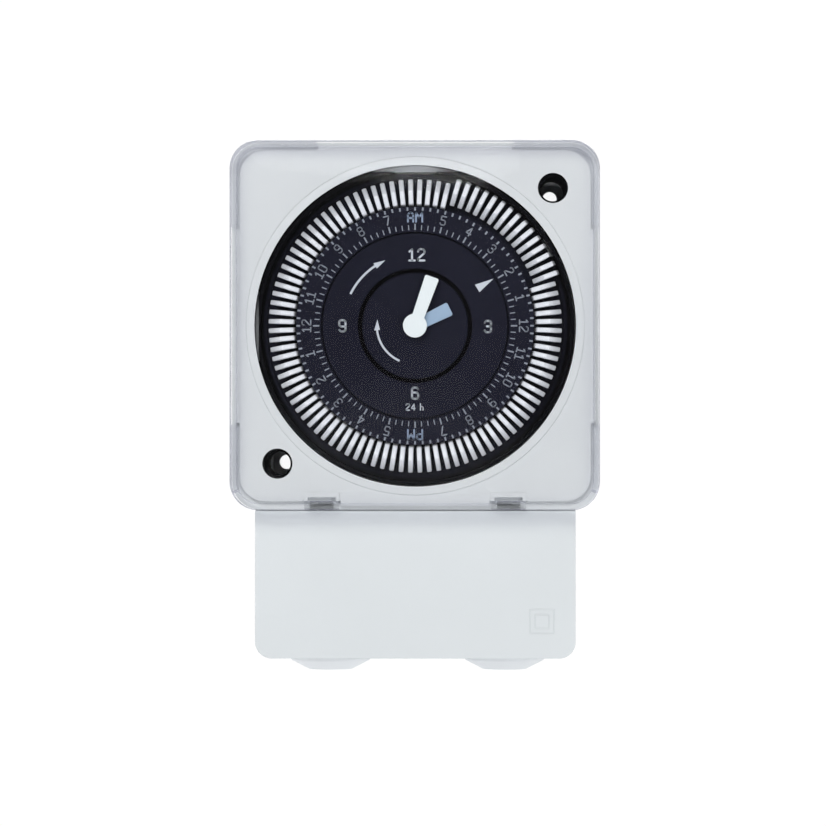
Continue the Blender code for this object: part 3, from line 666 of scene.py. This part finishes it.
def front_frame():
    """Square plate with a round bore, a raised land mid-side, and two hinge slots."""
    raised, land, land_half = 34.4, 35.3, 19.0
    plate = extrude([square(FRAME_HALF, FRAME_CORNER, 12)], 42, 44, "frame_shell")
    side = [(land_half, -land), (land_half + 0.01, -raised)]
    side += lower_right(raised, 5.0, 12)
    side += [(raised, -land_half - 0.01), (land, -land_half)]
    join(plate, extrude([four_sides(side)], 43.5, 46))
    join(plate, rod(32.35, 38.0, 42.6, ORIGIN, 144))
    ridge = rounded([(0, 45.0), (33.2, 45.0), (33.2, 46.4), (0, 46.4)], {2: 0.25})
    join(plate, revolve(ridge, 144))
    cut(plate, rod(BORE, 37, 48, ORIGIN, 144))
    arc_radius = 31.9
    for middle, flat in ((90, 30.35), (180, 30.85)):     # flats at the top and left of the bore
        half = math.degrees(math.acos(flat / arc_radius))
        segment = [polar(arc_radius, middle - half + half * i / 12) for i in range(25)]
        join(plate, extrude([segment], 38.0, 41.5))
    cut(plate, turned(box((31.0, 33.5), (37, 44.3), (-3.2, 3.2)), NOTCH_ANGLE))
    for centre in SCREWS:
        cut(plate, rod(2.95, 41, 48, centre, 64))
    for side in SIDES:
        x = side * HINGE_X
        join(plate, box((x - 3.45, x + 3.45), (45.0, 46.3), (-34.3, -32.65)))
        cut(plate, box((x - 2.75, x + 2.75), (HINGE_DEPTH - 1.2, 48), (-37, HINGE_Z + 1.6)))
        cut(plate, extrude([circle(1.1, 24, HINGE, 0.1)], x - 3.7, x + 3.7, place=along_x))
    paint(plate, "plate", "black_and_shade")
    soften(plate, 0.22, 3)
    # Painted shade: the walls of the screw holes and of the bore turn near black.
    darken(plate, is_frame_dark)
    put(plate, "case", "frame_grey", "front_frame")


# ------------------------------------------------------------------ clear lid
LID_STEPS = 14                              # steps round a corner of the lid
LID_SIDE = (-19.4, -19.39, 0, 19.39, 19.4)  # x of the points along a side
LID_CORNER = FRAME_CORNER
LID_WALL = 1.2


def lid_ring(half, corner):
    side = [(x, -half) for x in LID_SIDE] + lower_right(half, corner, LID_STEPS)
    return four_sides(side)


def lid_rim():
    """Back depth at each point, stepped over the frame's lands and along the bottom."""
    per_side = len(LID_SIDE) + LID_STEPS + 1
    return [46.35 if i % per_side in (1, 2, 3) or z < -32.4 else 44.3
            for i, (x, z) in enumerate(lid_ring(FRAME_HALF, LID_CORNER))]


def lid_rows(half, corner, edge, shoulder, steps):
    """Rings of (point, depth) from the rim to the rounded front edge."""
    outline = lid_ring(half, corner)
    rows = [list(zip(outline, lid_rim())), [(point, 47.0) for point in outline]]
    for f in range(steps + 1):
        angle = math.pi / 2 * f / steps
        shrunk = lid_ring(half - edge + edge * math.cos(angle),
                          corner - edge + edge * math.cos(angle))
        rows.append([(point, shoulder + edge * math.sin(angle)) for point in shrunk])
    return rows


def lid_shell():
    """One wall thickness of clear plastic, open at the back."""
    outer = lid_rows(FRAME_HALF, LID_CORNER, edge=1.0, shoulder=53.0, steps=6)
    inner = lid_rows(FRAME_HALF - LID_WALL, LID_CORNER - LID_WALL,
                     edge=0.6, shoulder=51.9, steps=4)
    rows = outer + inner
    verts = [facing(*station) for row in rows for station in row]
    faces, count, split = [], len(rows[0]), len(outer)
    pairs = [(i, (i + 1) % count) for i in range(count)]
    for k in range(split - 1):
        a, b = k * count, (k + 1) * count
        faces += [(a + i, a + j, b + j, b + i) for i, j in pairs]
    faces.append(tuple((split - 1) * count + i for i in range(count)))
    for k in range(split, len(rows) - 1):
        a, b = k * count, (k + 1) * count
        faces += [(a + i, b + i, b + j, a + j) for i, j in pairs]
    faces.append(tuple((len(rows) - 1) * count + i for i in range(count)))
    faces += [(i, split * count + i, split * count + j, j) for i, j in pairs]
    return make("part", verts, faces, "clear")


def lid():
    """The lid with its two hinge webs and pins."""
    knuckle, pin = 0.85, 0.78
    parts = [lid_shell()]
    web = [(HINGE_DEPTH, -36.0), (47.2, -36.0), (47.2, -34.8)]
    for degrees in range(20, 271, 10):
        depth, z = polar(knuckle, degrees)
        web.append((HINGE_DEPTH + depth, HINGE_Z + z))
    for side in SIDES:
        x = side * HINGE_X
        parts.append(extrude([web], x - 2.3, x + 2.3, place=along_x))
        parts.append(extrude([circle(pin, 24, HINGE)], x - 3.4, x + 3.4, place=along_x))
    put(smooth(merge("lid_shell", parts, "clear"), 30), "lid", "clear_lid", "lid")


# ------------------------------------------------- shroud, dial, face and disc
def dial_shroud():
    """Black ring behind the dial, its rim flat at the top and left and notched."""
    profile = [(24.8, 37.2), (31.2, 37.2), (31.2, 45.4), (30.47, 45.4), (30.47, 38.3),
               (24.8, 38.3)]
    shroud = revolve(rounded(profile, {2: 0.15, 3: 0.15}, 3), 144, "shroud_shell")
    cut(shroud, box((-20, 20), (36, 47), (30.2, 34)), box((-34, -30.7), (36, 47), (-20, 20)))
    cut(shroud, turned(box((29.9, 33), (36, 44.6), (-2.6, 2.6)), NOTCH_ANGLE))
    paint(shroud, "black_and_shade")
    put(smooth(shroud), "case", "black_plastic", "dial_shroud")


# radius, depth
DIAL = [(16.2, 37.4), (17.6, 37.4), (17.6, 40.9), (24.3, 40.9), (24.3, 38.7), (29.9, 38.7),
        (29.9, 41.2), (29.3, 41.2), (29.3, 39.7), (24.95, 39.7), (24.95, 41.75), (19.5, 41.75),
        (19.5, 43.7), (21.6, 43.7), (21.6, 45.3), (22.9, 45.3), (23.4, FACE_FRONT),
        (18.4, FACE_FRONT), (18.4, 44.9), (16.2, 44.9)]
GEAR_TEETH, GEAR_MODULE = 60, 42.0 / 68


def gear_outline():
    pitch_radius, step = GEAR_TEETH * GEAR_MODULE / 2, 2 * math.pi / GEAR_TEETH
    root, tip = pitch_radius - 1.05 * GEAR_MODULE, pitch_radius + 0.8 * GEAR_MODULE
    corners = ((root, -0.30), (tip, -0.105), (tip, 0.105), (root, 0.30))
    return [(radius * math.cos((i + part) * step), radius * math.sin((i + part) * step))
            for i in range(GEAR_TEETH) for radius, part in corners]


def dial_ring():
    """Turning 24 hour ring with a toothed ring behind its front."""
    ring = revolve(rounded(DIAL, {16: 0.12, 17: 0.12}, 3), 192)
    gear = extrude([gear_outline(), circle(17.0, 96)], 38.0, 40.2)
    put(smooth(merge("dial_shell", [ring, gear], "dial")), "dial", "dial_plastic", "dial_ring")


def dial_print():
    marks, numbers, halves = [], [], []
    for k in range(TRIPPERS):
        end, width = (20.0, 0.30) if k % 4 == 0 else (19.75, 0.20)     # hour or quarter
        marks.append(radial_mark(18.75, end, width, k * PITCH))
        marks.append(radial_mark(22.55, 23.25, 0.34, k * PITCH))
    put(merge("dial_marks", marks, "print"), "dial", "white_plastic")
    for i in range(24):
        degrees = i * 15.0
        centre = polar(21.3, degrees)
        if i % 12 == 6:
            text = "AM" if i < 12 else "PM"
            halves.append(letters(text, 2.2, centre, degrees, stroke=0.16))
        else:
            numbers.append(letters(str(i % 12 or 12), 1.95, centre, degrees, stroke=0.13))
    put(merge("dial_numbers", numbers, "print"), "dial", "white_plastic")
    put(merge("dial_am_pm", halves, "printblue"), "dial", "blue_plastic")


# radius, depth
FACE = [(14.2, 37.1), (15.7, 37.1), (15.7, 45.3), (18.1, 45.3), (18.1, FACE_FRONT),
        (11.2, FACE_FRONT), (11.2, 44.3), (3.4, 44.3), (3.4, 43.3), (14.2, 43.3)]
# text, height, centre
FACE_TEXT = [("12", 2.6, (0.35, 13.9)), ("3", 2.6, (14.25, -0.15)), ("6", 2.6, (0.0, -13.2)),
             ("9", 2.6, (-14.25, 0.0)), ("24 h", 1.45, (-0.1, -15.9))]


def is_face_dark(centre, normal):
    """Painted shade: the well round the centre disc, and all that lies behind the front flange,
    turn near black.
    """
    depth = -centre.y
    return math.hypot(centre.x, centre.z) < 11.22 and depth < 46.2 or depth < 45.0


def clock_face():
    face = revolve(rounded(FACE, {4: 0.12, 5: 0.18}), 160, "face_shell", "dial")
    # Second material, near black: painted shade in the well and behind the flange.
    face.data.materials.append(MAT["black_and_shade"])
    darken(face, is_face_dark)
    put(smooth(face), "case", "dial_plastic", "clock_face")
    texts = [letters(*entry) for entry in FACE_TEXT]
    put(merge("face_numbers", texts, "printhi"), "case", "white_plastic")
    arrow = arc_arrow(14.1, start=153.8, end=114.5, width=0.42, head=1.2, depths=PRINT)
    put(merge("face_arrow", [arrow], "printhi"), "case", "white_plastic")
    triangle = [(14.2, -0.85), (17.9, 0.0), (14.2, 0.85)]
    pointer = extrude([triangle], *PRINT, "face_pointer", "printhi")
    put(turned(pointer, NOTCH_ANGLE), "case", "white_plastic")


def centre_disc():
    profile = [(1.8, 44.8), (10.4, 44.8), (10.4, 46.2), (1.8, 46.2)]
    disc = revolve(rounded(profile, {2: 0.3}, 5), 128, "disc_shell", "dial")
    put(smooth(disc), "hour", "dial_plastic", "centre_disc")
    arrow = arc_arrow(7.5, start=246.0, end=170.5, width=0.40, head=1.1, depths=(46.17, 46.23))
    put(merge("disc_arrow", [arrow], "printhi"), "hour", "white_plastic")


# ---------------------------------------------------------------------- hands
def hand(name, mat, length, root, tip, clockwise, hub, depths, bore=None, crown=0.0):
    """Blade and round hub as one moulding, turned clockwise from 12 by degrees."""
    start, end = depths
    nick = 0.25         # chamfer of the tip
    blade = [(-root / 2, 0), (root / 2, 0), (tip / 2, length - nick), (tip / 2 - nick, length),
             (-tip / 2 + nick, length), (-tip / 2, length - nick)]
    ob = extrude([[spin(x, z, math.radians(-clockwise)) for x, z in blade]], start, end, name)
    join(ob, rod(hub, start - 0.02, end + crown, count=64))
    if bore:
        cut(ob, rod(bore, start - 1, end + 2, count=40))
    paint(ob, mat)
    return soften(ob, 0.12, 3)


def hands():
    hour = hand("hour_hand_fine", "blue", length=7.6, root=2.3, tip=2.74, clockwise=63.9,
                hub=2.3, depths=(46.65, 47.35), bore=1.8)
    put(hour, "hour", "blue_plastic", "hour_hand")
    minute = hand("minute_hand_fine", "hand", length=10.1, root=2.3, tip=2.8, clockwise=19.5,
                  hub=2.33, depths=(47.9, 48.6), crown=0.65)
    put(minute, "minute", "white_plastic", "minute_hand")


# ------------------------------------------------------------------- trippers
def tripper_profile():
    """Upright tripper as (outward, forward) points about its pivot."""
    half = [(0.0, 6.0), (1.35, 5.95), (2.0, 4.6), (2.88, 2.5), (1.18, 0.4), (0.93, -1.0)]
    whole = half + [(-x, z) for x, z in reversed(half[1:])]
    last = len(whole)
    return rounded(whole, {1: 0.45, 2: 0.5, 3: 0.2,
                           last - 1: 0.45, last - 2: 0.5, last - 3: 0.2})


def trippers(name, places, is_on):
    """Trippers at the given places, tilted outwards when on and inwards when off."""
    profile = tripper_profile()
    count = len(profile)
    middle = Vector((sum(p[0] for p in profile) / count, sum(p[1] for p in profile) / count))
    tilt = math.radians(-TRIPPER_TILT if is_on else TRIPPER_TILT)
    half, edge = TRIPPER_WIDTH / 2, 0.16
    # across the width, and how far the section shrinks there for a soft edge
    sections = ((-half, edge), (-half + 0.05, edge * 0.35), (-half + edge, 0.0),
                (half - edge, 0.0), (half - 0.05, edge * 0.35), (half, edge))
    last = len(sections) - 1
    verts, faces = [], []
    for k in places:
        angle = math.radians((k + 0.5) * PITCH)
        first = len(verts)
        for across, shrink in sections:
            for point in profile:
                arm = Vector(point) - middle
                arm = middle + arm * ((arm.length - shrink) / arm.length)
                out, forward = spin(arm.x, arm.y, tilt)
                x, z = spin(TRIPPER_R + out, across, angle)
                verts.append((x, -(TRIPPER_DEPTH + forward), z))
        for q in range(last):
            a, b = first + q * count, first + (q + 1) * count
            for i in range(count):
                j = (i + 1) % count
                faces.append((a + i, a + j, b + j, b + i))
        faces.append(tuple(first + i for i in range(count)))
        faces.append(tuple(first + last * count + i for i in reversed(range(count))))
    return smooth(make(name, verts, faces, "white"), 50)


def all_trippers():
    """Places 5 to 19 are on; the eight at 16 to 23 are bodies of their own."""
    put(trippers("trippers_on_fine", range(5, 16), True),
        "dial", "white_plastic", "trippers_on")
    put(trippers("trippers_off_fine", range(24, TRIPPERS + 5), False),
        "dial", "white_plastic", "trippers_off")
    for i, k in enumerate(range(16, 24), 1):
        name = f"tripper_{i}"
        put(trippers(name + "_fine", [k], k < 20), name, "white_plastic", name)


# --------------------------------------------- CAD nodes that keep their shape
def numbered(name, count):
    return [f"{name}_{i}" for i in range(1, count + 1)]


KEPT = {
    "black": ["terminal_block", "microswitch_body"],
    "plate": ["gear_plate", "movement_plate"],
    "green": ["circuit_board"],
    "copper": ["motor_coil"],
    "white": ["switch_lever", "microswitch_plunger"],
    "blue": ["capacitor"],
    "gear": ["hour_wheel", "motion_wheel", "dial_idler", *numbered("reduction_wheel", 2)],
    "steel": [*numbered("terminal_screw", 5), *numbered("plate_screw", 2), "motor_stator",
              "motor_rotor", "minute_arbor", "lever_pin", "reserve_cell"],
    "brass": [*numbered("terminal_clamp", 5), *numbered("plug_blade", 3), "contact_fixed",
              "contact_blade"],
}
EDGES = {"terminal_block": 0.35, "microswitch_body": 0.2, "capacitor": 0.15,
         "reserve_cell": 0.15, **dict.fromkeys(numbered("terminal_screw", 5), 0.18)}


def kept_nodes():
    for mat, names in KEPT.items():
        for name in names:
            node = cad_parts[name]
            paint(node, mat)
            if name in EDGES:
                bevel(node, EDGES[name], segments=2, angle=40)


# ---------------------------------------------------------------------- stage
def stage_floor():
    """Round white floor, evenly white to the camera so that the clear lid shows."""
    radius = 3000
    low = cad_low.z - 0.0315      # clear of the cover when it has slid down
    points = [(radius * math.cos(math.pi * i / 24), radius * math.sin(math.pi * i / 24),
               low / MM) for i in range(48)]
    floor = make("floor", points, [tuple(range(48))])
    paper, shader = new_material("stage_paper")
    shader.set(shader.main, Base_Color=(0.93, 0.93, 0.93, 1), Roughness=0.9,
               Emission_Color=(1, 1, 1, 1), Specular_IOR_Level=0.0)
    camera_ray = shader.add("LightPath").outputs["Is Camera Ray"]
    shader.feed(shader.spread(camera_ray, low=0.14, high=1.02), "Emission Strength")
    shader.feed(shader.spread(camera_ray, low=0.93, high=0.0), "Base Color")
    floor.data.materials.append(paper)


def white_world():
    """Dim white surroundings that the camera sees as full white."""
    world = bpy.context.scene.world or bpy.data.worlds.new("w")
    bpy.context.scene.world = world
    world.use_nodes = True
    shader = Shader(world.node_tree, "Background")
    shader.set(shader.main, Color=(1, 1, 1, 1))
    camera_ray = shader.add("LightPath").outputs["Is Camera Ray"]
    shader.feed(shader.spread(camera_ray, low=0.17, high=1.02), "Strength")


def aim(ob, place, target):
    ob.location = place
    ob.rotation_mode = "QUATERNION"
    ob.rotation_quaternion = (Vector(target) - ob.location).to_track_quat("-Z", "Y")


# name, place and target in metres, width and height in metres, watts
LIGHTS = [
    ("key", (-0.20, -1.05, 0.38), (0, 0, -0.02), (0.5, 0.25), 6.2),
    ("fill", (0.42, -1.05, -0.05), (0, 0, -0.02), (0.3, 0.5), 3.4),
    ("low", (-0.40, -1.05, -0.24), (0, 0, -0.02), (0.3, 0.25), 3.0),
    ("back", (0.1, 0.95, 0.6), (0, 0, 0), (0.8, 0.6), 8.0),
    ("right", (1.15, 0.12, 0.30), (0, 0, 0), (0.6, 0.6), 4.2),
    ("left", (-1.15, 0.15, 0.30), (0, 0, 0), (0.6, 0.6), 3.6),
]


def lights():
    for name, place, target, size, watts in LIGHTS:
        light = bpy.data.lights.new(name, "AREA")
        light.shape, light.energy = "RECTANGLE", watts
        light.size, light.size_y = size
        aim(add_object(name, light), place, target)


def camera():
    sensor, view_distance, view_width = 36.0, 900.0, 160.4
    data = bpy.data.cameras.new("camera")
    data.sensor_width = sensor
    data.lens = sensor * view_distance / view_width
    data.clip_start, data.clip_end = 0.05, 20
    ob = add_object("camera", data)
    aim(ob, place=(0.0126, -0.954, -0.0195), target=(-0.0003, -0.054, -0.0171))
    bpy.context.scene.camera = ob
    bpy.context.scene.view_settings.view_transform = "Standard"


for build in (wall_base, grommets, terminal_cover, rear_housing, front_frame, lid, dial_shroud,
              dial_ring, dial_print, clock_face, centre_disc, hands, all_trippers, kept_nodes,
              stage_floor, white_world, lights, camera):
    build()

bpy.context.view_layer.update()
